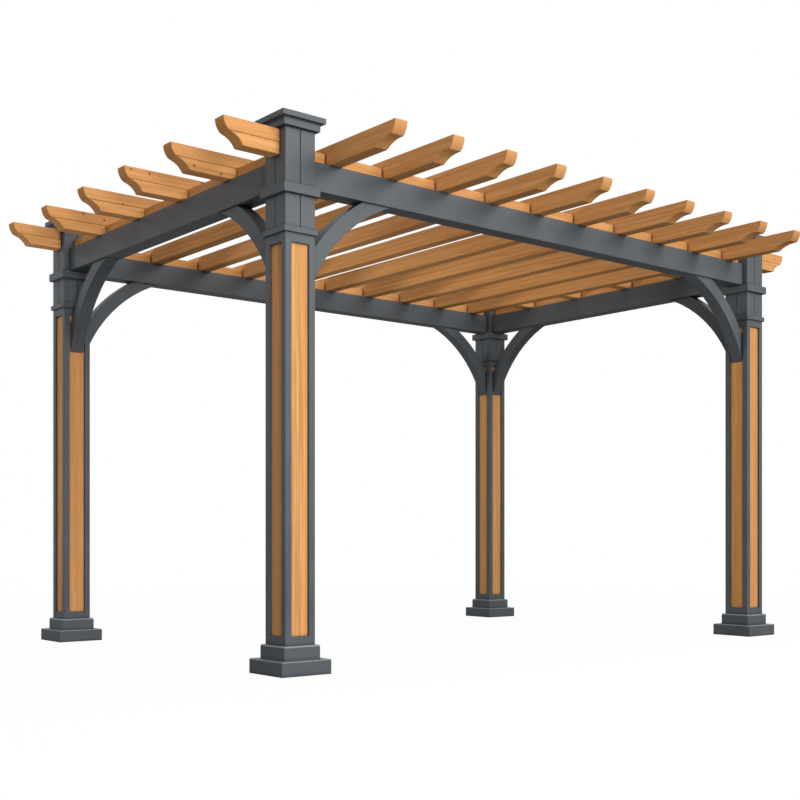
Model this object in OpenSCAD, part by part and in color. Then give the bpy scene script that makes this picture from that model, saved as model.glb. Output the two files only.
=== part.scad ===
// Wooden pergola: four panelled posts, butted beams, arched knee braces and scroll-cut rafters.
// The origin is on the ground at the centre of the posts, +X along the long front beam, +Z up.

/* [Plan] */
// Distance between post centres along the front
bay_x = 3530; // [2800:10:4200]
// Distance between post centres from front to back
bay_y = 2370; // [1900:10:3000]
// Reach of the rafter tails past the post centres, front and back
reach_y = 535; // [400:5:650]
// Reach of the side tails past the post centres, left and right
reach_x = 380; // [330:5:600]
// Height of the beams' undersides above the ground
headroom = 2239; // [2000:1:2600]

/* [Posts] */
// Width of the square post
post_w = 165; // [140:1:200]
// Width of the stile on each side of a panel
stile_w = 34; // [24:1:38]
// Depth of a panel's face below the post's face
panel_recess = 10; // [6:0.5:14]
// Thickness of a panel board
panel_t = 12; // [8:0.5:16]
// Height of the rail between the base and the panel
bottom_rail_h = 41; // [30:1:90]
// Height of the rail between the panel and the thin band
top_rail_h = 44; // [30:1:70]
// Width of the seam down the middle of each face of the post head
seam_w = 4; // [2:0.5:6]
// Depth of that seam
seam_d = 4; // [2:0.5:6]

/* [Post base] */
// Height of the lower plinth
lower_plinth_h = 69; // [40:1:90]
// Projection of the lower plinth from the post's face
lower_plinth_out = 54; // [40:1:70]
// Rounding of the lower plinth's top edges
lower_plinth_ease = 5; // [3:0.5:10]
// Height of the upper plinth
upper_plinth_h = 66; // [40:1:90]
// Projection of the upper plinth from the post's face
upper_plinth_out = 17; // [14:0.5:25]
// Rounding of the upper plinth's top edges
upper_plinth_ease = 9; // [6:0.5:13]

/* [Collars and cap] */
// Height of the collar that the beams rest on
collar_h = 45; // [30:1:60]
// Projection of the collar from the post's face
collar_out = 18; // [12:0.5:26]
// Rounding of the collar's top edges
collar_ease = 4; // [2:0.5:6]
// Height of the plain neck between the thin band and the collar
neck_h = 149; // [120:1:170]
// Height of the thin band
band_h = 28; // [20:1:40]
// Projection of the thin band from the post's face
band_out = 10; // [6:0.5:14]
// Rounding of the thin band's top edges
band_ease = 5; // [2:0.5:6]
// Gap between the tops of the tails and the cap
cap_clearance = 4; // [2:0.5:12]
// Height of the cap's lower step
cap_step_h = 36; // [24:1:50]
// Projection of the cap's lower step from the post's face
cap_step_out = 18; // [12:0.5:24]
// Thickness of the cap's plate
cap_plate_h = 27; // [20:1:40]
// Projection of the cap's plate from the post's face
cap_plate_out = 37; // [28:0.5:50]
// Rounding of the plate's top edges
cap_ease = 5; // [2:0.5:10]

/* [Beams and braces] */
// Thickness of the beams
beam_t = 100; // [80:1:130]
// Depth of the beams
beam_h = 135; // [110:1:180]
// Drop of the brace's lower tip below the beam, on the panel's face
brace_drop = 490; // [400:5:600]
// Run of the brace's upper tip from the post's face, under the beam
brace_run = 485; // [340:5:560]
// Radius of the brace's hollow side
brace_r = 860; // [700:10:1600]
// Depth of the brace across its curve
brace_d = 75; // [60:1:110]
// Strip of panel that shows on each side of a brace's foot
brace_reveal = 8.5; // [6:0.5:20]

/* [Rafters] */
// Number of rafters between the posts
rafter_count = 10; // [7:1:12]
// Clear distance from a post's face to the nearest rafter
rafter_inset = 108; // [60:1:240]
// Thickness of a rafter
rafter_t = 70; // [50:1:80]
// Depth of a rafter
rafter_h = 94; // [85:1:115]
// Flat step between a rafter's nose and its cove
rafter_flat = 16; // [8:1:24]
// Run of the cove along a rafter
rafter_cove_run = 100; // [60:1:130]
// Depth of that cove's hollow at its middle
rafter_cove_sag = 8; // [4:0.5:9]

/* [Side tails] */
// Number of tails between the posts on each side
side_tail_count = 4; // [3:1:6]
// Thickness of a side tail
side_tail_t = 76; // [60:1:90]
// Depth of a side tail
side_tail_h = 117; // [100:1:150]
// Flat step between a side tail's nose and its cove
side_tail_flat = 24; // [10:1:30]
// Run of the cove along a side tail
side_tail_cove_run = 51; // [40:1:80]
// Depth of that cove's hollow at its middle
side_tail_cove_sag = 6; // [4:0.5:12]

/* [Noses and blocking] */
// Height of the nose at a tail's end
nose_h = 61; // [45:1:75]
// Distance that the nose curves back below its top corner
nose_lean = 27; // [10:1:35]
// Height of the blocking between the boards on a beam
block_h = 57; // [40:1:85]
// Thickness of the blocking
block_t = 40; // [25:1:60]

/* [Hidden] */
// Length by which cutting shapes pass the faces that they cut
overrun = 5;
$fn = 96;
// Finer circles for the long curves of the braces
brace_fn = 240;
quarter_turn = 90;
charcoal = "#4D5154";
cedar = "#C58C53";

// Heights, from the ground up
base_h = lower_plinth_h + upper_plinth_h;
collar_z = headroom - collar_h;
band_z = collar_z - neck_h - band_h;
panel_z = base_h + bottom_rail_h;
panel_top = band_z - top_rail_h;
panel_h = panel_top - panel_z;
beam_top = headroom + beam_h;
post_h = beam_top + max(rafter_h, side_tail_h) + cap_clearance;

// Panels and braces share the middle of each post face
panel_w = post_w - 2 * stile_w;
pocket_d = panel_recess + panel_t;
brace_t = panel_w - 2 * brace_reveal;

// Centre of a brace's curves, from the corner of post face and beam underside
brace_chord = [brace_run + panel_recess, brace_drop];
brace_half = norm(brace_chord) / 2;
brace_set = sqrt(brace_r * brace_r - brace_half * brace_half) / norm(brace_chord);
brace_centre = [
    (brace_run - panel_recess) / 2 + brace_set * brace_chord.y,
    -brace_drop / 2 - brace_set * brace_chord.x
];

// Radius of the nose, centred level with a board's top
nose_r = (nose_h * nose_h + nose_lean * nose_lean) / (2 * nose_lean);

// Stock of a board: its thickness and depth, its flat step, and the run and hollow of its cove
rafter_stock = [rafter_t, rafter_h, rafter_flat, rafter_cove_run, rafter_cove_sag];
side_stock = [side_tail_t, side_tail_h, side_tail_flat, side_tail_cove_run, side_tail_cove_sag];

// Spacing and lengths of rafters and tails
end_rafter_set = post_w / 2 + rafter_inset;
rafter_gap = (bay_x - 2 * end_rafter_set - rafter_t) / (rafter_count - 1);
tail_gap = bay_y / (side_tail_count + 1);
rafter_len = bay_y + 2 * reach_y;
side_tail_len = reach_x + end_rafter_set;
corner_tail_len = reach_x - post_w / 2;

CORNERS = ["front_left", "front_right", "back_left", "back_right"];

// Side of each corner: -1 for left or front, 1 for right or back
function side_x(corner) = corner % 2 == 0 ? -1 : 1;
function side_y(corner) = corner < 2 ? -1 : 1;

// Place of a board in a centred row of evenly spaced ones
function row_place(i, count, gap) = (i - (count + 1) / 2) * gap;

module at_corner(corner) {
    translate([side_x(corner) * bay_x / 2, side_y(corner) * bay_y / 2, 0]) children();
}

// Repeats a shape made on the post's front face on all four faces
module on_four_faces() {
    for (turn = [0 : 3]) rotate(turn * quarter_turn) children();
}

module square_prism(width, height) {
    translate([-width / 2, -width / 2, 0]) cube([width, width, height]);
}

// Cross-section of a moulding with both top edges rounded
module eased_section(width, height, ease) {
    translate([-width / 2, 0]) square([width, height - ease]);
    translate([ease - width / 2, 0]) square([width - 2 * ease, height]);
    for (side = [-1, 1]) translate([side * (width / 2 - ease), height - ease]) circle(ease);
}

// Square block whose rounded top edges meet in mitres
module eased_block(width, height, ease) {
    intersection() {
        rotate([quarter_turn, 0, 0])
            linear_extrude(width + 2 * overrun, center = true) eased_section(width, height, ease);
        rotate([quarter_turn, 0, quarter_turn])
            linear_extrude(width + 2 * overrun, center = true) eased_section(width, height, ease);
    }
}

// Eased block with a square hole that the post passes through
module eased_ring(width, height, ease) {
    difference() {
        eased_block(width, height, ease);
        translate([0, 0, -overrun]) square_prism(post_w, height + 2 * overrun);
    }
}

module post_base(corner) {
    color(charcoal) at_corner(corner) {
        difference() {
            union() {
                eased_block(post_w + 2 * lower_plinth_out, lower_plinth_h, lower_plinth_ease);
                eased_block(post_w + 2 * upper_plinth_out, base_h, upper_plinth_ease);
            }
            translate([0, 0, -overrun]) square_prism(post_w, base_h + 2 * overrun);
        }
    }
}

module post_shaft(corner) {
    color(charcoal) at_corner(corner) {
        difference() {
            square_prism(post_w, post_h);
            on_four_faces() {
                translate([-panel_w / 2, -post_w / 2 - overrun, panel_z])
                    cube([panel_w, pocket_d + overrun, panel_h]);
                translate([-seam_w / 2, -post_w / 2 - overrun, band_z + band_h])
                    cube([seam_w, seam_d + overrun, post_h]);
            }
        }
    }
}

module post_panels(corner) {
    color(cedar) at_corner(corner) on_four_faces()
        translate([-panel_w / 2, panel_recess - post_w / 2, panel_z])
            cube([panel_w, panel_t, panel_h]);
}

module post_collars(corner) {
    color(charcoal) at_corner(corner) {
        translate([0, 0, collar_z]) eased_ring(post_w + 2 * collar_out, collar_h, collar_ease);
        translate([0, 0, band_z]) eased_ring(post_w + 2 * band_out, band_h, band_ease);
    }
}

module post_cap(corner) {
    color(charcoal) at_corner(corner) translate([0, 0, post_h]) {
        square_prism(post_w + 2 * cap_step_out, cap_step_h + cap_plate_h / 2);
        translate([0, 0, cap_step_h])
            eased_block(post_w + 2 * cap_plate_out, cap_plate_h, cap_ease);
    }
}

// Side view of a brace: an arched band between the panel's face and the beam's underside
module brace_section() {
    intersection() {
        translate(brace_centre) difference() {
            circle(brace_r + brace_d, $fn = brace_fn);
            circle(brace_r, $fn = brace_fn);
        }
        union() {
            translate([0, -brace_drop - brace_d])
                square([brace_run + brace_d, brace_drop + brace_d]);
            translate([-panel_recess, -brace_drop - brace_d])
                square([brace_run, brace_drop + brace_d - (headroom - panel_top)]);
        }
    }
}

module brace() {
    translate([post_w / 2, 0, headroom])
        rotate([quarter_turn, 0, 0]) linear_extrude(brace_t, center = true) brace_section();
}

module braces(corner) {
    color(charcoal) at_corner(corner) {
        mirror([side_x(corner) > 0 ? 1 : 0, 0, 0]) brace();
        mirror([0, side_y(corner) > 0 ? 1 : 0, 0]) rotate(quarter_turn) brace();
    }
}

module beam(length) {
    translate([-length / 2, -beam_t / 2, headroom]) cube([length, beam_t, beam_h]);
}

module long_beam(side) {
    color(charcoal) translate([0, side * bay_y / 2, 0]) beam(bay_x - post_w);
}

module short_beam(side) {
    color(charcoal) translate([side * bay_x / 2, 0, 0]) rotate(quarter_turn) beam(bay_y - post_w);
}

// Side view of a board from a square end at zero to a scroll-cut tail
module scroll_section(length, stock) {
    height = stock[1];
    flat = stock[2];
    cove = [stock[3], height - nose_h];
    sag = stock[4];
    chord = norm(cove);
    cove_r = chord * chord / (8 * sag) + sag / 2;
    step_end = length - nose_lean - flat;
    cove_mid = [step_end - cove.x / 2, cove.y / 2];
    difference() {
        intersection() {
            square([length, height]);
            union() {
                square([step_end, height]);
                translate([length - nose_r, height]) circle(nose_r);
            }
        }
        intersection() {
            translate([0, -overrun]) square([length + overrun, cove.y + overrun]);
            union() {
                translate(cove_mid + (cove_r - sag) / chord * [cove.y, -cove.x]) circle(cove_r);
                translate([step_end + flat / 2, -overrun]) square([length, cove.y + overrun]);
            }
        }
    }
}

// Tail along +X from a square end at zero, standing on the beams
module tail(length, stock) {
    translate([0, 0, beam_top]) rotate([quarter_turn, 0, 0])
        linear_extrude(stock[0], center = true) scroll_section(length, stock);
}

module rafter(i) {
    color(cedar) translate([row_place(i, rafter_count, rafter_gap), 0, beam_top])
        rotate([quarter_turn, 0, quarter_turn]) linear_extrude(rafter_t, center = true)
            intersection() {
                translate([-rafter_len / 2, 0]) scroll_section(rafter_len, rafter_stock);
                mirror([1, 0]) translate([-rafter_len / 2, 0]) scroll_section(rafter_len, rafter_stock);
            }
}

// Tail along +X or -X, with its square end at a distance inside the posts' row (outside where negative)
module outward_tail(side, inside, y, length) {
    translate([side * (bay_x / 2 - inside), y, 0])
        rotate(side > 0 ? 0 : 2 * quarter_turn) tail(length, side_stock);
}

// Tails that butt against the end rafter and reach out over a side beam
module side_tails(side) {
    color(cedar) for (i = [1 : side_tail_count])
        outward_tail(side, end_rafter_set, row_place(i, side_tail_count, tail_gap), side_tail_len);
}

// Tails that butt against the outer faces of two corner posts
module corner_tails(side) {
    color(cedar) for (end = [-1, 1])
        outward_tail(end, -post_w / 2, side * bay_y / 2, corner_tail_len);
}

// Row of blocks along X between two posts, parted by the boards that cross the beam
module blocking_row(bay, count, gap, board_t) {
    post_face = (bay - post_w) / 2;
    for (i = [0 : count]) {
        start = i == 0 ? -post_face : row_place(i, count, gap) + board_t / 2;
        end = i == count ? post_face : row_place(i + 1, count, gap) - board_t / 2;
        translate([start, -block_t / 2, beam_top]) cube([end - start, block_t, block_h]);
    }
}

module long_blocking(side) {
    color(cedar) translate([0, side * bay_y / 2, 0])
        blocking_row(bay_x, rafter_count, rafter_gap, rafter_t);
}

module short_blocking(side) {
    color(cedar) translate([side * bay_x / 2, 0, 0]) rotate(quarter_turn)
        blocking_row(bay_y, side_tail_count, tail_gap, side_tail_t);
}

for (c = [0 : len(CORNERS) - 1]) {
    post_base(c);
    post_shaft(c);
    post_panels(c);
    post_collars(c);
    post_cap(c);
    braces(c);
}
long_beam(-1);  // front_beam
long_beam(1);  // back_beam
short_beam(-1);  // left_beam
short_beam(1);  // right_beam
for (i = [1 : rafter_count]) {
    rafter(i);
}
side_tails(-1);  // left_tails
side_tails(1);  // right_tails
corner_tails(-1);  // front_corner_tails
corner_tails(1);  // back_corner_tails
long_blocking(-1);  // front_blocking
long_blocking(1);  // back_blocking
short_blocking(-1);  // left_blocking
short_blocking(1);  // right_blocking
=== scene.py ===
"""Dresses a wooden pergola: oiled cedar boards and panels in a charcoal painted frame.

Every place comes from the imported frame, and every size from the frame or from a named field below. All
lengths are metres in the frame's own axes: X runs along the front beam, Y from front to back and Z up.
"""

from __future__ import annotations

import logging
import math
from dataclasses import dataclass
from enum import Enum
from functools import partial
from typing import Any, Callable, Sequence

import bpy
import numpy as np
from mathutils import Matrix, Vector

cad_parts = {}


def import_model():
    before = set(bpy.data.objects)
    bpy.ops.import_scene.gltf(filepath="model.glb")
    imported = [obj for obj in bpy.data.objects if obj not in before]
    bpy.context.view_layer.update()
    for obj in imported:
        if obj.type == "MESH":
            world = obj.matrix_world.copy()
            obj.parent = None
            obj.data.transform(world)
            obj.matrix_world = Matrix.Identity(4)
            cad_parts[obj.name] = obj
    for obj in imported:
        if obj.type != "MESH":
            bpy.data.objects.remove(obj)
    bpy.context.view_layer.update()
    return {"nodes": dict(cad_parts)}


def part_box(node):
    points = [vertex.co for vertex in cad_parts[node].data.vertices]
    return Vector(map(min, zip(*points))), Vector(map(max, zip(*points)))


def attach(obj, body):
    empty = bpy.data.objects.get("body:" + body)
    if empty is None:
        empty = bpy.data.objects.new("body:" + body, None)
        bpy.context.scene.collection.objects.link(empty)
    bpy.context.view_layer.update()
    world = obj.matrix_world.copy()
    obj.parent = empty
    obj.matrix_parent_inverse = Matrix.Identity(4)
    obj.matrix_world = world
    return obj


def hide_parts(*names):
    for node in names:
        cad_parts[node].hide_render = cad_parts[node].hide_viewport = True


log = logging.getLogger("pergola")
Array = np.ndarray
Shape = tuple[Array, list[Array]]
Pair = tuple[float, float]
Triple = tuple[float, float, float]
Node = bpy.types.Node
Material = bpy.types.Material
Adder = Callable[..., Node]

MM = 0.001
ARC_STEPS = 10
BRACE_STEPS = 28
MERGE_DIGITS = 7
UP = (0.0, 0.0, 1.0)
WHITE = (1.0, 1.0, 1.0, 1.0)
# The inputs of a Mix node that mixes colours.
SHARE, UNDER, OVER = 0, 6, 7


class Corner(Enum):
    """A corner post of the pergola, by the start of its nodes' names."""

    FRONT_LEFT = "front_left"
    FRONT_RIGHT = "front_right"
    BACK_LEFT = "back_left"
    BACK_RIGHT = "back_right"

    @property
    def inward(self) -> tuple[Heading, Heading]:
        """The two headings in which this post's beams leave it."""
        along = Heading.WEST if self.value.endswith("right") else Heading.EAST
        return along, Heading.SOUTH if self.value.startswith("back") else Heading.NORTH


class Heading(Enum):
    """A direction on plan: east is +X, north is +Y."""

    EAST = (1.0, 0.0, 0.0)
    NORTH = (0.0, 1.0, 0.0)
    WEST = (-1.0, 0.0, 0.0)
    SOUTH = (0.0, -1.0, 0.0)

    @property
    def lying(self) -> Array:
        """Rows of along, across and up for a board that lies in this direction."""
        return np.array([self.value, np.cross(UP, self.value), UP])

    @property
    def upright(self) -> Array:
        """Rows of along, across and up for a board that stands with its face to this direction."""
        return np.array([UP, self.value, np.cross(UP, self.value)])


class Side(Enum):
    """A side of the pergola: its name and the heading out of it."""

    FRONT = ("front", Heading.SOUTH)
    BACK = ("back", Heading.NORTH)
    LEFT = ("left", Heading.WEST)
    RIGHT = ("right", Heading.EAST)

    def __init__(self, label: str, outward: Heading) -> None:
        """Keeps the name that its nodes start with, and its heading."""
        self.label, self.outward = label, outward

    @property
    def runs(self) -> Heading:
        """The heading along this side's beam."""
        return Heading.EAST if self in (Side.FRONT, Side.BACK) else Heading.NORTH


@dataclass
class Surface:
    """A closed skin as whole arrays, with each point's place in the timber that it is cut from.

    points: metres in the shared frame, one row each.
    faces: blocks of point numbers, one block for each count of corners.
    grain: metres along, across and up the log, one row for each point.
    timber: its tone, -1 to 1, share of knots and share of painted highlight on its coat, 0 to 1, in like
    rows.
    along: the way that the timber runs, in like rows.
    """

    points: Array
    faces: list[Array]
    grain: Array
    timber: Array
    along: Array

    @staticmethod
    def joined(parts: Sequence[Surface]) -> Surface:
        """Puts several skins into one, each block of faces moved on by the points before it.

        Args:
            parts: the skins to join.

        Returns:
            One skin that holds them all.
        """
        starts = np.cumsum([0] + [len(part.points) for part in parts[:-1]])
        faces = [block + start for part, start in zip(parts, starts) for block in part.faces]
        rows = [(part.points, part.grain, part.timber, part.along) for part in parts]
        points, grain, timber, along = map(np.vstack, zip(*rows))
        return Surface(points, faces, grain, timber, along)


@dataclass
class Sawmill:
    """Cuts every timber from its own place in its own log, the same way in each run.

    least, most: what is drawn between, for metres down the log, metres from its pith, radians about the
        pith, and tone.
    """

    seed: int = 11
    least: tuple[float, ...] = (0.0, 0.12, -0.45, -1.0)
    most: tuple[float, ...] = (30.0, 0.26, 0.45, 1.0)

    def __post_init__(self) -> None:
        """Starts the draws from the fixed seed."""
        self.draws = np.random.default_rng(self.seed)

    def cut(self, shape: Shape, origin: Array, axes: Array, knots: float = 0.0) -> Surface:
        """Sets a shape out in the frame and gives it its grain.

        In words: a point is its origin plus its along, across and up steps on the three axes. Its grain is
        the same three steps, moved a drawn length along the log and a drawn distance from the pith, which
        lies behind the board's broad face.

        Args:
            shape: points as along, across and up, and their faces.
            origin: where along, across and up are all nought.
            axes: rows of along, across and up in the frame.
            knots: the share of places for a knot that have one.

        Returns:
            The timber's skin in the frame.
        """
        points, faces = shape
        down_log, pith, turn, tone = self.draws.uniform(self.least, self.most)
        shift = np.array([down_log, pith * math.cos(turn), pith * math.sin(turn)])
        timber = np.tile((tone, knots, 0.0), (len(points), 1))
        along = np.tile(axes[0], (len(points), 1))
        return Surface(points @ axes + origin, faces, points + shift, timber, along)


@dataclass(frozen=True)
class Pocket:
    """A rectangle sunk into a post's face."""

    half_width: float
    low: float
    high: float
    depth: float


def node_box(node: str) -> tuple[Array, Array]:
    """Low and high corners of a node's box in the frame."""
    low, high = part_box(node)
    return np.array(low), np.array(high)


def foot_of(low: Array, high: Array) -> Array:
    """The middle of a box's underside."""
    return np.array([(low[0] + high[0]) / 2, (low[1] + high[1]) / 2, low[2]])


def arc(centre: Array, start: Array, end: Array, steps: int) -> Array:
    """Points of a circle's arc the short way round.

    In words: the angle runs evenly from the start's to the end's, and each point is the centre plus the
    radius turned to that angle.

    Args:
        centre: the circle's centre.
        start: the first point.
        end: the last point.
        steps: how many chords the arc has.

    Returns:
        Points from start to end, one row each.
    """
    first, last = start - centre, end - centre
    angle = math.atan2(first[1], first[0])
    sweep = (math.atan2(last[1], last[0]) - angle + math.pi) % math.tau - math.pi
    angles = angle + sweep * np.linspace(0.0, 1.0, steps + 1)
    return centre + np.hypot(*first) * np.column_stack([np.cos(angles), np.sin(angles)])


def arc_centre(start: Array, end: Array, radius: float) -> Array:
    """Centre of the circle of a radius through two points, on the right hand from start to end.

    In words: from the chord's middle, square to it, by the root of radius squared less half chord squared.

    Args:
        start: the first point.
        end: the last point.
        radius: the circle's radius.

    Returns:
        The centre.
    """
    chord = end - start
    length = np.hypot(*chord)
    rise = math.sqrt(radius**2 - (length / 2) ** 2)
    return (start + end) / 2 + rise * np.array([chord[1], -chord[0]]) / length


def rectangle(low: Sequence[float], high: Sequence[float]) -> Array:
    """Outline of a rectangle from its low and high corners, anticlockwise."""
    return np.array([(low[0], low[1]), (high[0], low[1]), (high[0], high[1]), (low[0], high[1])])


def board(outline: Array, thickness: float) -> Shape:
    """Carries a side outline straight across a board's thickness.

    In words: every outline point (along, up) stands once at minus and once at plus half the thickness,
    strips join the two rings, and each ring closes its own side.

    Args:
        outline: the side view, anticlockwise with along to the right and up above.
        thickness: the board's size across.

    Returns:
        Points as along, across and up, and their faces.
    """
    count = len(outline)
    near = np.column_stack([outline[:, 0], np.full(count, -thickness / 2), outline[:, 1]])
    ring = np.arange(count)
    after = np.roll(ring, -1)
    strips = np.column_stack([ring, ring + count, after + count, after])
    return np.vstack([near, near * (1, -1, 1)]), [strips, ring[None, :], ring[None, ::-1] + count]


def square_moulding(profile: Array, hollow: bool) -> Shape:
    """Carries a profile round a square path, with mitres at the four corners.

    In words: a profile point (half width, height) stands at the four corners (-w, -w), (w, -w), (w, w)
    and (-w, w) at its height. A hollow moulding joins its last point to its first, and a solid one is
    closed by a square below and a square above.

    Args:
        profile: half width and height, up the outer side.
        hollow: whether the profile closes round a hole that the post passes through.

    Returns:
        Points as x, y and z from the post's axis, and their faces.
    """
    signs = np.array([(-1, -1), (1, -1), (1, 1), (-1, 1)])
    steps = len(profile)
    points = np.empty((4, steps, 3))
    points[..., :2] = signs[:, None, :] * profile[None, :, :1]
    points[..., 2] = profile[:, 1]
    here = np.arange(4 * steps).reshape(4, steps)
    above = np.roll(here, -1, axis=1)
    count = steps if hollow else steps - 1
    quads = np.stack([here, np.roll(here, -1, axis=0), np.roll(above, -1, axis=0), above], axis=-1)
    faces = [quads[:, :count].reshape(-1, 4)]
    if not hollow:
        faces += [here[::-1, 0][None, :], here[:, -1][None, :]]
    return points.reshape(-1, 3), faces


def eased_side(half_width: float, low: float, high: float, ease: float) -> Array:
    """Outer side of a moulding: straight up, then a quarter round over its top edge.

    Args:
        half_width: from the post's axis to the outer side.
        low: height of its lower edge.
        high: height of its top.
        ease: radius of the quarter round.

    Returns:
        Half width and height, one row each.
    """
    inner = half_width - ease
    start, end = np.array([half_width, high - ease]), np.array([inner, high])
    return np.vstack([[(half_width, low)], arc(np.array([inner, high - ease]), start, end, ARC_STEPS)])


def panelled_shaft(width: float, height: float, pocket: Pocket, seam: Pocket) -> Shape:
    """A square shaft with a sunk pocket and a sunk seam in each of its four faces.

    In words: on one face the depth is a function of the place across and the height on a grid. It is the
    pocket's depth inside the pocket's rectangle, the seam's inside the seam's, and nought elsewhere, and
    each edge's grid line is doubled so that the walls stand square. The face is turned by 0, 90, 180 and
    270 degrees, points that meet are made one, and a ring of points closes each end.

    Args:
        width: the shaft's size across its faces.
        height: the shaft's length from the ground.
        pocket: the sunk rectangle that holds a panel.
        seam: the sunk line above it, which runs out at the top.

    Returns:
        Points as x, y and z from the post's axis, and their faces.
    """
    half = width / 2
    right = np.array([seam.half_width] * 2 + [pocket.half_width] * 2 + [half])
    across = np.concatenate([-right[::-1], right])
    heights = np.array([0.0, pocket.low, pocket.low, pocket.high, pocket.high, seam.low, seam.low, height])
    # Of the grid lines across, 2 to 7 are the pocket's and 4 and 5 the seam's. Of those up the shaft, 2
    # and 3 are the pocket's and 6 and 7 the seam's.
    columns, rows = np.arange(len(across)), np.arange(len(heights))
    in_pocket = np.outer((columns > 1) & (columns < 8), (rows > 1) & (rows < 4))
    in_seam = np.outer((columns > 3) & (columns < 6), rows > 5)
    depth = pocket.depth * in_pocket + seam.depth * in_seam
    face = np.empty(depth.shape + (3,))
    face[..., 0] = across[:, None]
    face[..., 1] = depth - half
    face[..., 2] = heights
    turns = np.arange(4) * math.pi / 2
    cos, sin, zero = np.cos(turns), np.sin(turns), np.zeros(4)
    turned = np.array([[cos, sin, zero], [-sin, cos, zero], [zero, zero, zero + 1.0]])
    faces_of_post = np.round(np.einsum("uvi,ijk->kuvj", face, turned), MERGE_DIGITS)
    points, number = np.unique(faces_of_post.reshape(-1, 3), axis=0, return_inverse=True)
    number = number.reshape(faces_of_post.shape[:3])
    corners = [number[:, :-1, :-1], number[:, 1:, :-1], number[:, 1:, 1:], number[:, :-1, 1:]]
    quads = np.stack(corners, axis=-1).reshape(-1, 4)
    quads = quads[(np.diff(np.sort(quads, axis=1), axis=1) > 0).all(axis=1)]
    rings = [number[:, :, 0].ravel()[::-1], number[:, :, -1].ravel()]
    return points, [quads] + [ring[ring != np.roll(ring, 1)][None, :] for ring in rings]


def hex_to_linear(code: str) -> tuple[float, float, float, float]:
    """Turns an sRGB hex colour to the linear values that a shader takes.

    Args:
        code: a colour such as #A0B1C2.

    Returns:
        Linear red, green and blue, and an alpha of one.
    """
    srgb = np.array([int(code[place : place + 2], 16) for place in (1, 3, 5)]) / 255
    linear = np.where(srgb <= 0.04045, srgb / 12.92, ((srgb + 0.055) / 1.055) ** 2.4)
    return (*(float(value) for value in linear), 1.0)


def add_node(
    tree: bpy.types.NodeTree, kind: str, inputs: Sequence[Any] | dict[str | int, Any] = (), **settings: Any
) -> Node:
    """Adds one node, sets it up and fills or links its inputs.

    Args:
        tree: the node tree to add to.
        kind: the node's type name after ShaderNode.
        inputs: what goes into its first inputs in order, or into those of a name or number. A value is
            set. A socket is linked, and so is a node, from the first of its outputs that is in use.
        **settings: the node's own properties.

    Returns:
        The new node.
    """
    node = tree.nodes.new("ShaderNode" + kind)
    for name, value in settings.items():
        setattr(node, name, value)
    for key, value in inputs.items() if isinstance(inputs, dict) else enumerate(inputs):
        if isinstance(value, Node):
            value = next(socket for socket in value.outputs if socket.enabled)
        if isinstance(value, bpy.types.NodeSocket):
            tree.links.new(value, node.inputs[key])
        else:
            node.inputs[key].default_value = value
    return node


def empty_material(name: str) -> tuple[Material, Adder]:
    """Makes a material with an empty node tree.

    Args:
        name: the material's name.

    Returns:
        The material, and what adds nodes to it.
    """
    material = bpy.data.materials.new(name)
    material.use_nodes = True
    material.node_tree.nodes.clear()
    return material, partial(add_node, material.node_tree)


@dataclass(frozen=True)
class Finish:
    """What the pergola's two finishes share.

    edge_ease, relief: how wide its pieces' edges are eased, and how deep its fine bumps are.
    corner_reach: how near another face has to be for the painted shade in corners to darken it.
    corner_air: the shares of open air where it is darkest and where it is as elsewhere.
    corner_dark: the share of its light that the darkest corner keeps.
    """

    name: str
    slot: str
    edge_ease: float
    ior: float
    specular: float
    roughness: Pair
    relief: float
    corner_reach: float
    corner_air: Pair
    corner_dark: float = 0.35
    corner_samples: int = 4
    relief_strength: float = 0.5

    def corners(self, add: Adder) -> Node:
        """Paints shade into corners and joints, darkening a face where other faces are near it.

        Args:
            add: adds nodes to the finish.

        Returns:
            The node that gives the share of light that is left.
        """
        near = {"Distance": self.corner_reach}
        air = add("AmbientOcclusion", near, samples=self.corner_samples).outputs["AO"]
        return add("MapRange", (air, *self.corner_air, self.corner_dark, 1.0))

    def seal(self, add: Adder, colour: Node, roughness: Node, height: Node) -> None:
        """Ends the finish with its relief, shader and output.

        Args:
            add: adds nodes to the finish.
            colour: gives the colour.
            roughness: gives the roughness.
            height: gives the relief's height.
        """
        relief = {"Height": height, "Distance": self.relief, "Strength": self.relief_strength}
        inputs = {
            "Base Color": colour,
            "Roughness": roughness,
            "IOR": self.ior,
            "Specular IOR Level": self.specular,
            "Normal": add("Bump", relief),
        }
        add("OutputMaterial", {"Surface": add("BsdfPrincipled", inputs)})


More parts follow.
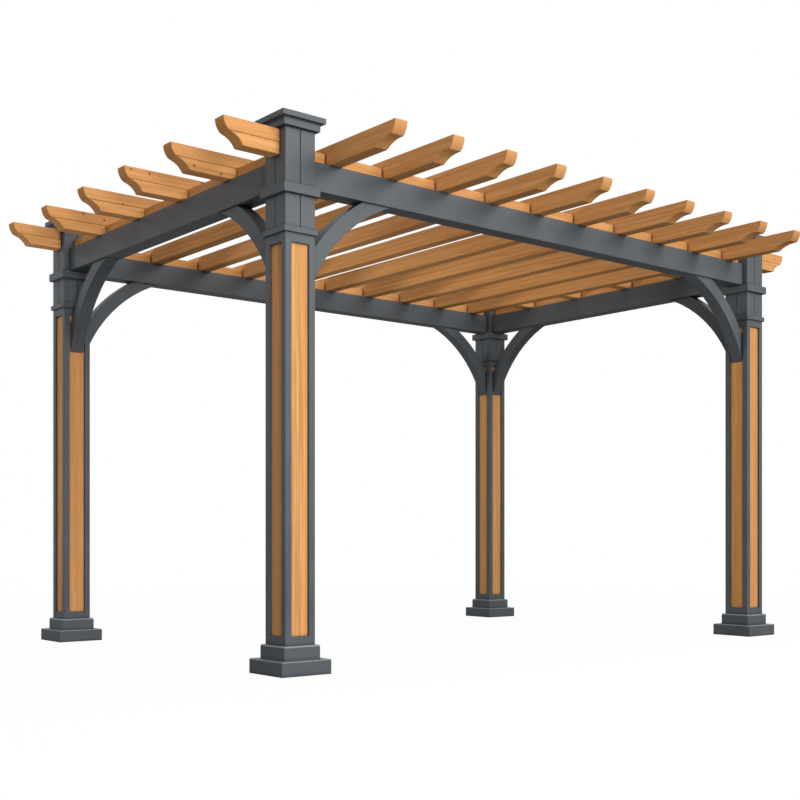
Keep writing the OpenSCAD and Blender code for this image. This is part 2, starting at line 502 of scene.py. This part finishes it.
@dataclass(frozen=True)
class OiledCedar(Finish):
    """Western red cedar, planed and oiled.

    Planing leaves it smooth and the oil warms it, so the eye sees honey brown with soft streaks along
    each board, close rings on the cut ends, a small dark knot here and there in the side tails, and dark
    lines where boards meet, from the gaps between them and from painted shade in corners and joints.

    wander, streak, fibre: length along the grain, width across it, and the noise's detail. A share says
    how far a pattern's own colour covers the one under it, and a noise which values it fades in between.
    """

    name: str = "western_red_cedar_planed_oiled"
    slot: str = "cedar"
    edge_ease: float = 2.2 * MM
    ior: float = 1.47
    specular: float = 0.14
    roughness: Pair = (0.5, 0.64)
    relief: float = 0.3 * MM
    corner_reach: float = 14 * MM
    corner_air: Pair = (0.5, 0.85)
    spring_wood: str = "#DCA268"
    summer_wood: str = "#B57A40"
    deep_streak: str = "#B0773A"
    red_board: str = "#CD9055"
    red_share: float = 0.7
    end_grain: float = 0.83
    end_turn: Pair = (0.3, 0.7)
    # Summer growth is really about 3 mm apart: it is drawn at 7 mm, so that it shows.
    ring_spacing: float = 7 * MM
    ring_wave: Pair = (-0.4, 1.0)
    ring_share: float = 0.28
    ring_wander: float = 34 * MM
    wander: Triple = (700 * MM, 60 * MM, 2.0)
    streak: Triple = (900 * MM, 14 * MM, 3.0)
    streak_noise: Pair = (0.38, 0.72)
    streak_share: float = 0.8
    # Fibres are really well under 1 mm wide: they are drawn at 4 mm, so that they show.
    fibre: Triple = (140 * MM, 4 * MM, 2.0)
    fibre_noise: Pair = (0.25, 0.75)
    fibre_shade: float = 0.09
    rough_noise: Pair = (0.2, 0.8)
    knot: str = "#4F2E14"
    knot_share: float = 0.9
    knot_spacing: float = 125 * MM
    knot_fade: Pair = (1.2 * MM, 10.2 * MM)
    knot_swirl: Pair = (6 * MM, 30 * MM)
    knot_bend: float = 10 * MM

    def material(self) -> Material:
        """Builds the finish from the boards' own grain, timber and along attributes.

        Returns:
            The material.
        """
        material, add = empty_material(self.name)
        labels = ("grain", "timber", "along")
        grain, timber, along = (add("Attribute", attribute_name=name).outputs["Vector"] for name in labels)
        place = add("SeparateXYZ", (grain,)).outputs
        tone, knottiness, _ = add("SeparateXYZ", (timber,)).outputs

        # Knots, streaks and fibres show on the sides of a board, so they fade where a face turns to the
        # way that the board runs. The cut end drinks more oil and is darker.
        normal = add("NewGeometry").outputs["True Normal"]
        facing = add("VectorMath", (along, normal), operation="DOT_PRODUCT")
        turned = add("Math", (facing,), operation="ABSOLUTE")
        side = add("MapRange", (turned, *self.end_turn, 1.0, 0.0))
        oiled = add("MapRange", (side, 0.0, 1.0, self.end_grain, 1.0))

        # A knot runs through the board's thickness, so its place is looked up on the side view alone.
        side_view = add("CombineXYZ", (place["X"], place["Z"]))
        cells = {"Vector": side_view, "Scale": 1 / self.knot_spacing}
        knots = add("TexVoronoi", cells, voronoi_dimensions="2D").outputs
        draw = add("SeparateColor", (knots["Color"],)).outputs["Red"]
        chosen = add("Math", (draw, knottiness), operation="LESS_THAN")
        fade, swirl = np.array([self.knot_fade, self.knot_swirl]) / self.knot_spacing
        fading = (knots["Distance"], *fade, self.knot_share, 0.0)
        core = add("MapRange", fading, interpolation_type="SMOOTHSTEP")
        spot = add("Math", (core, chosen), operation="MULTIPLY")
        knot = add("Math", (spot, side), operation="MULTIPLY")
        bending = (knots["Distance"], *swirl, self.knot_bend, 0.0)
        near = add("MapRange", bending, interpolation_type="SMOOTHERSTEP")
        bend = add("Math", (near, chosen), operation="MULTIPLY")

        # The rings' wander, the streaks and the fibres are noise that is drawn out along the grain.
        noises = []
        for length, width, detail in (self.wander, self.streak, self.fibre):
            scale = (1 / length, 1 / width, 1 / width)
            drawn = add("VectorMath", (grain, scale), operation="MULTIPLY")
            noises.append(add("TexNoise", {"Vector": drawn, "Scale": 1.0, "Detail": detail}))
        wander, streaks, fibre = noises
        streak = add("MapRange", (streaks, *self.streak_noise, 0.0, self.streak_share))
        long_streak = add("Math", (streak, side), operation="MULTIPLY")

        # A ring is a distance from the pith, which wanders slowly along the log and bends round knots.
        section = add("VectorMath", (grain, (0.0, 1.0, 1.0)), operation="MULTIPLY")
        radius = add("VectorMath", (section,), operation="LENGTH")
        bent = add("Math", (radius, bend), operation="ADD")
        wandered = add("Math", (wander, self.ring_wander, bent), operation="MULTIPLY_ADD")
        turns = add("Math", (wandered, math.tau / self.ring_spacing), operation="MULTIPLY")
        wave = add("Math", (turns,), operation="SINE")
        growth = (wave, *self.ring_wave, 0.0, self.ring_share)
        ring = add("MapRange", growth, interpolation_type="SMOOTHSTEP")

        codes = (self.spring_wood, self.summer_wood, self.deep_streak, self.red_board, self.knot)
        spring, summer, deep, red, dark = map(hex_to_linear, codes)
        grown = add("Mix", {SHARE: ring, UNDER: spring, OVER: summer}, data_type="RGBA")
        streaked = add("Mix", {SHARE: long_streak, UNDER: grown, OVER: deep}, data_type="RGBA")
        leaning = add("MapRange", (tone, -1.0, 1.0, 0.0, self.red_share))
        toned = add("Mix", {SHARE: leaning, UNDER: streaked, OVER: red}, data_type="RGBA")
        shade = add("MapRange", (fibre, *self.fibre_noise, -self.fibre_shade, self.fibre_shade))
        light = add("Math", (shade, side, oiled), operation="MULTIPLY_ADD")
        # Painted shade: the wood is darkened in corners and joints, where other faces are near.
        value = add("Math", (light, self.corners(add)), operation="MULTIPLY")
        fibred = add("HueSaturation", {"Value": value, "Color": toned})
        knotted = add("Mix", {SHARE: knot, UNDER: fibred, OVER: dark}, data_type="RGBA")
        roughness = add("MapRange", (fibre, *self.rough_noise, *self.roughness))
        height = add("Math", (ring, fibre), operation="ADD")
        self.seal(add, knotted, roughness, height)
        return material


@dataclass(frozen=True)
class CharcoalPaint(Finish):
    """Charcoal satin paint, sprayed on planed timber.

    Spraying leaves an even satin skin with a faint orange peel, so the eye sees a cool dark grey that
    lightens softly towards the light and is a little cloudy from coat to coat, with painted shade in the
    corners and a painted highlight along the plinths' rounded top edges.

    cloud, peel: size, and the noise's detail.
    """

    name: str = "charcoal_satin_paint_sprayed"
    slot: str = "charcoal_paint"
    edge_ease: float = 2.0 * MM
    ior: float = 1.5
    specular: float = 0.14
    roughness: Pair = (0.36, 0.44)
    relief: float = 0.06 * MM
    corner_reach: float = 18 * MM
    corner_air: Pair = (0.5, 0.9)
    coat: str = "#52575B"
    thin_coat: str = "#585D61"
    highlight_coat: str = "#868B8F"
    cloud: Pair = (220 * MM, 3.0)
    cloud_noise: Pair = (0.35, 0.65)
    rough_noise: Pair = (0.3, 0.7)
    # Orange peel is really about 1.5 mm across: it is drawn at 4 mm, so that it shows.
    peel: Pair = (4 * MM, 1.0)

    def material(self) -> Material:
        """Builds the finish on the shared frame's own coordinates, and the painted edge highlight on the
        timber attribute.

        Returns:
            The material.
        """
        material, add = empty_material(self.name)
        place = add("TexCoord").outputs["Object"]
        clouds, peel = (
            add("TexNoise", {"Vector": place, "Scale": 1 / size, "Detail": detail})
            for size, detail in (self.cloud, self.peel)
        )
        full, thin, pale = map(hex_to_linear, (self.coat, self.thin_coat, self.highlight_coat))
        cloud = add("MapRange", (clouds, *self.cloud_noise, 0.0, 1.0))
        cloudy = add("Mix", {SHARE: cloud, UNDER: full, OVER: thin}, data_type="RGBA")
        # Painted highlight: the plinths' rounded top edges take a paler coat, as if they caught the light.
        timber = add("Attribute", attribute_name="timber").outputs["Vector"]
        edge_highlight = add("SeparateXYZ", (timber,)).outputs["Z"]
        highlighted = add("Mix", {SHARE: edge_highlight, UNDER: cloudy, OVER: pale}, data_type="RGBA")
        # Painted shade: the coat is darkened in corners and joints, where other faces are near.
        corner_shaded = add("HueSaturation", {"Value": self.corners(add), "Color": highlighted})
        roughness = add("MapRange", (clouds, *self.rough_noise, *self.roughness))
        self.seal(add, corner_shaded, roughness, peel)
        return material


@dataclass(frozen=True)
class StudioPaper:
    """White studio paper, matt: it stays white to the camera and takes a faint shadow.

    glow is the share of plain white that the camera sees under the object, and it grows to one by the
    end of the fade, so that the paper runs into the backdrop with no edge.
    """

    name: str = "studio_paper_matt_white"
    seen: str = "#F6F6F5"
    lit: str = "#70706E"
    glow: float = 0.93
    fade: Pair = (3.5, 9.0)

    def material(self) -> Material:
        """Builds the paper's finish.

        Returns:
            The material.
        """
        material, add = empty_material(self.name)
        looked_at = add("LightPath").outputs["Is Camera Ray"]
        place = add("TexCoord").outputs["Object"]
        distance = add("VectorMath", (place,), operation="LENGTH")
        white = add("MapRange", (distance, *self.fade, self.glow, 1.0))
        shown = add("Math", (looked_at, white), operation="MULTIPLY")
        lit, seen = hex_to_linear(self.lit), hex_to_linear(self.seen)
        colour = add("Mix", {SHARE: looked_at, UNDER: lit, OVER: seen}, data_type="RGBA")
        matt = add("BsdfDiffuse", {"Color": colour})
        plain = add("Emission", {"Strength": 1.0})
        surface = add("MixShader", (shown, matt, plain))
        add("OutputMaterial", {"Surface": surface})
        return material


@dataclass
class Dressing:
    """A finish together with its material, which is built once for all the pieces that wear it.

    ease_steps: the facets of an eased edge.
    sharp_turn: how far two faces turn, in degrees, for their edge to be eased.
    """

    finish: OiledCedar | CharcoalPaint
    ease_steps: int = 2
    sharp_turn: float = 28.0

    def __post_init__(self) -> None:
        """Builds the finish's material."""
        self.material = self.finish.material()

    def place(self, name: str, node: str, skin: Surface, ease: float | None = None) -> None:
        """Makes the piece that stands for a node: its mesh, eased edges, finish and frame calls.

        Args:
            name: the piece's name.
            node: the node that it replaces.
            skin: the piece's closed skin.
            ease: how wide its edges are eased, if not as the finish is.
        """
        mesh = bpy.data.meshes.new(name)
        mesh.from_pydata(skin.points.tolist(), [], [row for block in skin.faces for row in block.tolist()])
        mesh.polygons.foreach_set("use_smooth", np.ones(len(mesh.polygons), dtype=bool))
        for label, rows in (("grain", skin.grain), ("timber", skin.timber), ("along", skin.along)):
            mesh.attributes.new(label, "FLOAT_VECTOR", "POINT").data.foreach_set("vector", rows.ravel())
        mesh.materials.append(self.material)
        piece = bpy.data.objects.new(name, mesh)
        bpy.context.scene.collection.objects.link(piece)
        bevel = piece.modifiers.new("eased edges", "BEVEL")
        bevel.width = self.finish.edge_ease if ease is None else ease
        bevel.segments = self.ease_steps
        bevel.limit_method = "ANGLE"
        bevel.angle_limit = math.radians(self.sharp_turn)
        piece.modifiers.new("flat faces", "WEIGHTED_NORMAL").keep_sharp = True
        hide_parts(node)
        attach(piece, "root")
        log.info("%s: %d faces, for %s", name, len(mesh.polygons), node)


@dataclass
class Post:
    """A corner post: plinth, panelled shaft, panels, mouldings, cap and the two braces it carries."""

    corner: Corner
    mill: Sawmill
    cedar: Dressing
    paint: Dressing
    stile_width: float = 34 * MM
    panel_thickness: float = 12 * MM
    panel_ease: float = 1.2 * MM
    seam_width: float = 4 * MM
    seam_depth: float = 4 * MM
    lower_plinth_height: float = 69 * MM
    lower_plinth_ease: float = 5 * MM
    upper_plinth_out: float = 17 * MM
    upper_plinth_ease: float = 9 * MM
    collar_height: float = 45 * MM
    collar_ease: float = 4 * MM
    band_height: float = 28 * MM
    band_out: float = 10 * MM
    band_ease: float = 5 * MM
    cap_step_height: float = 36 * MM
    cap_step_out: float = 18 * MM
    cap_ease: float = 5 * MM
    brace_drop: float = 490 * MM
    brace_run: float = 485 * MM
    brace_radius: float = 860 * MM
    brace_depth: float = 75 * MM
    brace_thickness: float = 80 * MM

    def __post_init__(self) -> None:
        """Reads the post's place and main sizes from the frame."""
        low, high = self.node_box("post_shaft")
        self.width, self.height = high[0] - low[0], high[2]
        self.axis = foot_of(low, high) * (1.0, 1.0, 0.0)
        panel_low, panel_high = self.node_box("post_panels")
        self.recess = high[0] - panel_high[0]
        self.panel_low, self.panel_high = panel_low[2], panel_high[2]

    def node_box(self, part: str) -> tuple[Array, Array]:
        """Low and high corners of one of the post's nodes."""
        return node_box(f"{self.corner.value}_{part}")

    def build(self) -> None:
        """Builds and dresses every piece of the post."""
        self.plinth()
        self.shaft()
        self.panels()
        self.mouldings()
        self.cap()
        self.braces()

    def painted(self, name: str, node: str, shapes: list[Shape], edge_highlight: Array | float = 0.0) -> None:
        """Sets painted shapes out on the post's axis as one piece.

        Args:
            name: what the piece is.
            node: the node it replaces, after the corner's name.
            shapes: points as x, y and z from the post's axis, and their faces.
            edge_highlight: the share of painted highlight on the coat at each point, 0 to 1.
        """
        skin = Surface.joined([self.mill.cut(shape, self.axis, np.eye(3)) for shape in shapes])
        skin.timber[:, 2] = edge_highlight
        self.paint.place(f"{self.corner.value}_{name}", f"{self.corner.value}_{node}", skin)

    def plinth(self) -> None:
        """The stepped plinth: a low wide block and a higher narrow one with well rounded tops."""
        low, high = self.node_box("post_base")
        inner, step = self.width / 2, self.lower_plinth_height
        profile = np.vstack(
            [
                eased_side((high[0] - low[0]) / 2, low[2], step, self.lower_plinth_ease),
                eased_side(inner + self.upper_plinth_out, step, high[2], self.upper_plinth_ease),
                [(inner, high[2]), (inner, low[2])],
            ]
        )
        # Painted highlight: a rounding is lightened most in its middle and not at all at its ends, as if it
        # caught the light.
        rounding = np.sin(np.linspace(0.0, math.pi, ARC_STEPS + 1))
        edge_highlight = np.concatenate([[0.0], rounding, [0.0], rounding, [0.0, 0.0]])
        shape = square_moulding(profile, hollow=True)
        self.painted("stepped_plinth", "post_base", [shape], np.tile(edge_highlight, 4))

    def shaft(self) -> None:
        """The shaft, with a pocket for a panel in each face and a seam up each face of its neck."""
        band_top = self.node_box("post_collars")[0][2] + self.band_height
        half = self.width / 2 - self.stile_width
        pocket = Pocket(half, self.panel_low, self.panel_high, self.recess + self.panel_thickness)
        seam = Pocket(self.seam_width / 2, band_top, self.height, self.seam_depth)
        shape = panelled_shaft(self.width, self.height, pocket, seam)
        self.painted("panelled_shaft", "post_shaft", [shape])

    def panels(self) -> None:
        """The cedar panels, each of two upright staves with eased edges that meet in a fine joint."""
        half = self.width / 2 - self.stile_width
        out = self.width / 2 - self.recess - self.panel_thickness / 2
        skins = []
        for facing in Heading:
            centre = self.axis + out * np.array(facing.value)
            for first, last in ((-half, 0.0), (0.0, half)):
                outline = rectangle((self.panel_low, first), (self.panel_high, last))
                stave = board(outline, self.panel_thickness)
                skins.append(self.mill.cut(stave, centre, facing.upright))
        name = self.corner.value
        skin = Surface.joined(skins)
        self.cedar.place(f"{name}_panel_staves", f"{name}_post_panels", skin, self.panel_ease)

    def mouldings(self) -> None:
        """The collar under the beams and the narrower band below it."""
        low, high = self.node_box("post_collars")
        inner = self.width / 2
        sides = (
            ((high[0] - low[0]) / 2, high[2] - self.collar_height, high[2], self.collar_ease),
            (inner + self.band_out, low[2], low[2] + self.band_height, self.band_ease),
        )
        shapes = []
        for outer, bottom, top, ease in sides:
            profile = np.vstack([eased_side(outer, bottom, top, ease), [(inner, top), (inner, bottom)]])
            shapes.append(square_moulding(profile, hollow=True))
        self.painted("collar_and_band", "post_collars", shapes)

    def cap(self) -> None:
        """The cap: a step and an overhanging plate with rounded top edges."""
        low, high = self.node_box("post_cap")
        step, plate_low = self.width / 2 + self.cap_step_out, low[2] + self.cap_step_height
        plate = eased_side((high[0] - low[0]) / 2, plate_low, high[2], self.cap_ease)
        profile = np.vstack([[(step, low[2]), (step, plate_low)], plate])
        self.painted("stepped_cap", "post_cap", [square_moulding(profile, hollow=False)])

    def braces(self) -> None:
        """The arched braces: a band between two circles, from the panel's face to the beam above.

        In words: both circles share the centre that puts the inner one through the foot on the panel
        and the head under the beam, and the outer one is the brace's depth further out.
        """
        foot = np.array([-self.recess, -self.brace_drop])
        head = np.array([self.brace_run, 0.0])
        centre = arc_centre(foot, head, self.brace_radius)
        outer = self.brace_radius + self.brace_depth
        foot_top = np.array([foot[0], centre[1] + math.sqrt(outer**2 - (foot[0] - centre[0]) ** 2)])
        head_top = np.array([centre[0] - math.sqrt(outer**2 - centre[1] ** 2), 0.0])
        inner_side = arc(centre, foot, head, BRACE_STEPS)
        outer_side = arc(centre, head_top, foot_top, BRACE_STEPS)
        shape = board(np.vstack([inner_side, outer_side]), self.brace_thickness)
        underside = self.node_box("braces")[1][2]
        skins = []
        for heading in self.corner.inward:
            root = self.axis + self.width / 2 * np.array(heading.value) + (0.0, 0.0, underside)
            skins.append(self.mill.cut(shape, root, heading.lying))
        name = self.corner.value
        self.paint.place(f"{name}_arched_braces", f"{name}_braces", Surface.joined(skins))


@dataclass(frozen=True)
class Scroll:
    """Board stock and the scroll that its tails are cut to.

    A tail ends in a nose, an arc that is plumb at the top corner and leans back below. A short step
    follows, level or slanted, and then a cove, an arc that hollows up from the board's underside.
    """

    thickness: float
    height: float
    flat: float
    cove_run: float
    cove_sag: float
    step_drop: float
    nose_height: float = 61 * MM
    nose_lean: float = 27 * MM

    def nose(self, length: float) -> Array:
        """The nose from its lower corner to the board's top corner.

        Args:
            length: along, at the top corner.

        Returns:
            Points as along and up.
        """
        radius = (self.nose_height**2 + self.nose_lean**2) / (2 * self.nose_lean)
        start = np.array([length - self.nose_lean, self.height - self.nose_height])
        end = np.array([length, self.height])
        return arc(np.array([length - radius, self.height]), start, end, ARC_STEPS)

    def cove(self, length: float) -> Array:
        """The cove from the board's underside to the step behind the nose.

        In words: the radius is the chord squared over eight sags, plus half the sag.

        Args:
            length: along, at the nose's top corner.

        Returns:
            Points as along and up.
        """
        step_height = self.height - self.nose_height - self.step_drop
        end = np.array([length - self.nose_lean - self.flat, step_height])
        start = np.array([end[0] - self.cove_run, 0.0])
        chord = np.hypot(*(end - start))
        radius = chord**2 / (8 * self.cove_sag) + self.cove_sag / 2
        return arc(arc_centre(start, end, radius), start, end, ARC_STEPS)

    def glued(self, length: float) -> list[Array]:
        """Outlines of the two boards of a glued tail, which meet level with the nose's lower corner.

        Args:
            length: from the square end at nought to the top corner.

        Returns:
            The lower and the upper outline.
        """
        joint = self.height - self.nose_height
        corner = (length - self.nose_lean, joint)
        lower = np.vstack([[(0.0, 0.0)], self.cove(length), [corner, (0.0, joint)]])
        upper = np.vstack([[(0.0, joint)], self.nose(length), [(0.0, self.height)]])
        return [lower, upper]

    def two_ended(self, length: float) -> Array:
        """Outline of a rafter in one board, with a scroll at each end and nought in its middle."""
        end = np.vstack([self.cove(length / 2), self.nose(length / 2)])
        return np.vstack([end, end[::-1] * (-1, 1)])


@dataclass
class Roof:
    """What the posts carry: beams, rafters, tails and the blocks between them."""

    mill: Sawmill
    cedar: Dressing
    paint: Dressing
    rafter_count: int
    tail_count: int = 4
    block_gap: float = 8 * MM
    tail_knots: float = 0.7
    glued_ease: float = 3.4 * MM
    rafter_stock: Scroll = Scroll(
        thickness=70 * MM, height=94 * MM, flat=16 * MM, cove_run=100 * MM, cove_sag=8 * MM, step_drop=0.0
    )
    tail_stock: Scroll = Scroll(
        thickness=76 * MM, height=117 * MM, flat=24 * MM, cove_run=51 * MM, cove_sag=6 * MM, step_drop=9 * MM
    )

    def build(self) -> None:
        """Builds and dresses every piece of the roof."""
        for side in Side:
            self.beam(side)
        for number in range(1, self.rafter_count + 1):
            self.rafter(number)
        self.side_tails(Side.LEFT)
        self.side_tails(Side.RIGHT)
        self.corner_tails(Side.FRONT)
        self.corner_tails(Side.BACK)
        for side in Side:
            self.blocking(side)

    def rafter(self, number: int) -> None:
        """A rafter that spans both long beams and ends in a scroll at front and back.

        Args:
            number: its place in the row, from 1.
        """
        node = f"rafter_{number}"
        low, high = node_box(node)
        shape = board(self.rafter_stock.two_ended(high[1] - low[1]), self.rafter_stock.thickness)
        skin = self.mill.cut(shape, foot_of(low, high), Heading.NORTH.lying)
        self.cedar.place(f"{node}_scroll_cut_board", node, skin)

    def glued_tail(self, length: float, root: Array, heading: Heading) -> list[Surface]:
        """Cuts a side tail from two boards, each out of its own knotty log, with the paler one below: partly
        a difference between the two boards and partly painted shade on the upper one.

        Args:
            length: from the root to the top corner of the nose.
            root: where the tail's square end stands.
            heading: the way that it points.

        Returns:
            The two boards' skins.
        """
        shapes = [board(outline, self.tail_stock.thickness) for outline in self.tail_stock.glued(length)]
        skins = [self.mill.cut(shape, root, heading.lying, self.tail_knots) for shape in shapes]
        # Painted shade: the upper board is always made the redder and darker one, partly standing in for the
        # shade of the tail in front.
        for lean, skin in zip((-1.0, 1.0), skins):
            skin.timber[:, 0] = lean * np.abs(skin.timber[:, 0])
        return skins

    def tail_middles(self, side: Side) -> Array:
        """Places of a side's tails along it, evenly spread over their node's box.

        Args:
            side: the side that they reach out over.

        Returns:
            Each tail's middle.
        """
        low, high = node_box(f"{side.label}_tails")
        half = self.tail_stock.thickness / 2
        return np.linspace(low[1] + half, high[1] - half, self.tail_count)

    def side_tails(self, side: Side) -> None:
        """The tails that reach out over a side beam, each glued up from two boards.

        Args:
            side: the side that they reach out over.
        """
        node = f"{side.label}_tails"
        low, high = node_box(node)
        root = high[0] if side is Side.LEFT else low[0]
        skins = []
        for middle in self.tail_middles(side):
            skins += self.glued_tail(high[0] - low[0], np.array([root, middle, low[2]]), side.outward)
        self.cedar.place(f"{node}_glued_boards", node, Surface.joined(skins), self.glued_ease)

    def corner_tails(self, side: Side) -> None:
        """The short tails that butt against the outer faces of two corner posts, glued up as the others.

        Args:
            side: the side that the two posts stand on.
        """
        node = f"{side.label}_corner_tails"
        low, high = node_box(node)
        skins = []
        for across, end, reach in ((Side.LEFT, 0, low[0]), (Side.RIGHT, 1, high[0])):
            face = node_box(f"{side.label}_{across.label}_post_shaft")[end][0]
            root = np.array([face, (low[1] + high[1]) / 2, low[2]])
            skins += self.glued_tail(abs(reach - face), root, across.outward)
        self.cedar.place(f"{node}_glued_boards", node, Surface.joined(skins), self.glued_ease)

    def beam(self, side: Side) -> None:
        """A beam between two posts: one straight timber with eased edges.

        Args:
            side: the side that it runs along.
        """
        node = f"{side.label}_beam"
        low, high = node_box(node)
        along = int(side.runs is Heading.NORTH)
        size = high - low
        outline = rectangle((-size[along] / 2, 0.0), (size[along] / 2, size[2]))
        skin = self.mill.cut(board(outline, size[1 - along]), foot_of(low, high), side.runs.lying)
        self.paint.place(f"{side.label}_eased_beam", node, skin)

    def blocking(self, side: Side) -> None:
        """The blocks on a beam that close the gaps between the boards that cross it.

        In words: a block runs from one board's far face to the next one's near face, less a gap at each,
        and the first and the last run out to the ends of the node's box.

        Args:
            side: the side that the beam runs along.
        """
        node = f"{side.label}_blocking"
        low, high = node_box(node)
        along = int(side.runs is Heading.NORTH)
        if along == 0:
            half = self.rafter_stock.thickness / 2
            rafters = [node_box(f"rafter_{number}") for number in range(1, self.rafter_count + 1)]
            middles = np.array([foot_of(*box)[0] for box in rafters])
        else:
            half = self.tail_stock.thickness / 2
            middles = self.tail_middles(side)
        starts = np.concatenate([[low[along]], middles + half]) + self.block_gap
        ends = np.concatenate([middles - half, [high[along]]]) - self.block_gap
        starts[0], ends[-1] = low[along], high[along]
        origin = foot_of(low, high)
        skins = []
        for start, end in zip(starts - origin[along], ends - origin[along]):
            outline = rectangle((start, 0.0), (end, high[2] - low[2]))
            skins.append(self.mill.cut(board(outline, (high - low)[1 - along]), origin, side.runs.lying))
        self.cedar.place(f"{side.label}_blocks", node, Surface.joined(skins))


@dataclass(frozen=True)
class SoftBox:
    """A rectangular soft box that hangs in the studio.

    place, aim: where it hangs and what it is turned to, in metres.
    size: its cloth's width and height, in metres.
    power: in watts.
    spread: how wide its grid lets the light out, in degrees.
    in_gloss: whether glossy surfaces mirror it.
    """

    name: str
    place: Triple
    aim: Triple
    size: Pair
    power: float
    spread: float = 180.0
    in_gloss: bool = True

    def hang(self) -> None:
        """Hangs the box at its place, turned to what it is aimed at."""
        lamp = bpy.data.lights.new(self.name, "AREA")
        lamp.shape = "RECTANGLE"
        lamp.size, lamp.size_y = self.size
        lamp.energy = self.power
        lamp.spread = math.radians(self.spread)
        box = bpy.data.objects.new(self.name, lamp)
        box.location = self.place
        box.rotation_euler = (Vector(self.aim) - box.location).to_track_quat("-Z", "Y").to_euler()
        box.visible_camera = False
        box.visible_glossy = self.in_gloss
        bpy.context.scene.collection.objects.link(box)


@dataclass
class Studio:
    """The white studio: paper floor, soft light and the camera.

    The camera stands level at the photograph's angle. Its lens and shift follow from where the horizon
    lies in an image taken to be 800 by 800 pixels. The ceiling's light is strongest along its lean.
    """

    paper: StudioPaper = StudioPaper()
    floor_reach: float = 60.0
    floor_drop: float = 0.5 * MM
    image_side: float = 800.0
    focal_pixels: float = 1218.5
    horizon_row: float = 536.4
    camera_turn: float = -39.397
    camera_place: Triple = (-4.9465, -5.8581, 0.6330)
    camera_reach: float = 200.0
    sensor: float = 36.0
    ceiling_lean: Triple = (0.13, -0.18, 0.975)
    ceiling_light: float = 1.32
    key: SoftBox = SoftBox("key_soft_box", (-3.9, -8.9, 1.2), (-0.6, -0.5, 2.7), (2.2, 1.6), 98.0, 90.0)
    sheen: SoftBox = SoftBox("sheen_soft_box", (2.6, -9.4, 5.2), (-0.8, -0.8, 1.8), (4.0, 3.6), 450.0)
    fill: SoftBox = SoftBox(
        "fill_soft_box", (-3.2, 5.5, 0.4), (0.0, 0.2, 2.6), (3.0, 1.4), 54.0, spread=80.0, in_gloss=False
    )

    def build(self) -> None:
        """Sets up the floor, the light and the camera."""
        self.floor()
        self.backdrop()
        for box in (self.key, self.sheen, self.fill):
            box.hang()
        self.camera()

    def floor(self) -> None:
        """A wide sheet of paper under the posts: the plane of x and y at one height."""
        square = rectangle([-self.floor_reach] * 2, [self.floor_reach] * 2)
        corners = np.column_stack([square, np.full(4, -self.floor_drop)])
        mesh = bpy.data.meshes.new("studio_floor")
        mesh.from_pydata(corners.tolist(), [], [(0, 1, 2, 3)])
        mesh.materials.append(self.paper.material())
        floor = bpy.data.objects.new("studio_floor", mesh)
        bpy.context.scene.collection.objects.link(floor)

    def backdrop(self) -> None:
        """A world that is plain white to look at, also in gloss, and lights the object from above.

        In words: its light grows with the direction's share of the lean, from nought square to that.
        """
        world = bpy.data.worlds.new("studio_backdrop")
        world.use_nodes = True
        world.node_tree.nodes.clear()
        add = partial(add_node, world.node_tree)
        path = add("LightPath").outputs
        looked = add("Math", (path["Is Camera Ray"], path["Is Glossy Ray"]), operation="MAXIMUM")
        seen = add("Math", (looked, path["Is Transmission Ray"]), operation="MAXIMUM")
        direction = add("TexCoord").outputs["Generated"]
        leaning = add("VectorMath", (direction, self.ceiling_lean), operation="DOT_PRODUCT")
        light = add("MapRange", (leaning, 0.0, 1.0, 0.0, self.ceiling_light))
        soft = add("Background", {"Color": WHITE, "Strength": light})
        plain = add("Background", {"Color": WHITE, "Strength": 1.0})
        mixed = add("MixShader", (seen, soft, plain))
        add("OutputWorld", {"Surface": mixed})
        bpy.context.scene.world = world

    def camera(self) -> None:
        """A level camera with its lens raised until the horizon lies where the photograph has it."""
        lens = bpy.data.cameras.new("photograph_camera")
        lens.sensor_width = self.sensor
        lens.lens = self.focal_pixels / self.image_side * self.sensor
        lens.shift_y = (self.horizon_row - self.image_side / 2) / self.image_side
        lens.clip_end = self.camera_reach
        camera = bpy.data.objects.new("photograph_camera", lens)
        camera.location = self.camera_place
        camera.rotation_euler = (math.pi / 2, 0.0, math.radians(self.camera_turn))
        bpy.context.scene.collection.objects.link(camera)
        bpy.context.scene.camera = camera


def main() -> None:
    """Loads the frame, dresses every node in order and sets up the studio."""
    logging.basicConfig(level=logging.INFO, format="%(name)s: %(message)s")
    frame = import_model()
    bpy.context.scene.view_settings.view_transform = "Standard"
    mill = Sawmill()
    cedar, paint = Dressing(OiledCedar()), Dressing(CharcoalPaint())
    for corner in Corner:
        Post(corner, mill, cedar, paint).build()
    rafters = sum(name.startswith("rafter_") for name in frame["nodes"])
    Roof(mill, cedar, paint, rafters).build()
    Studio().build()


if __name__ == "__main__":
    main()
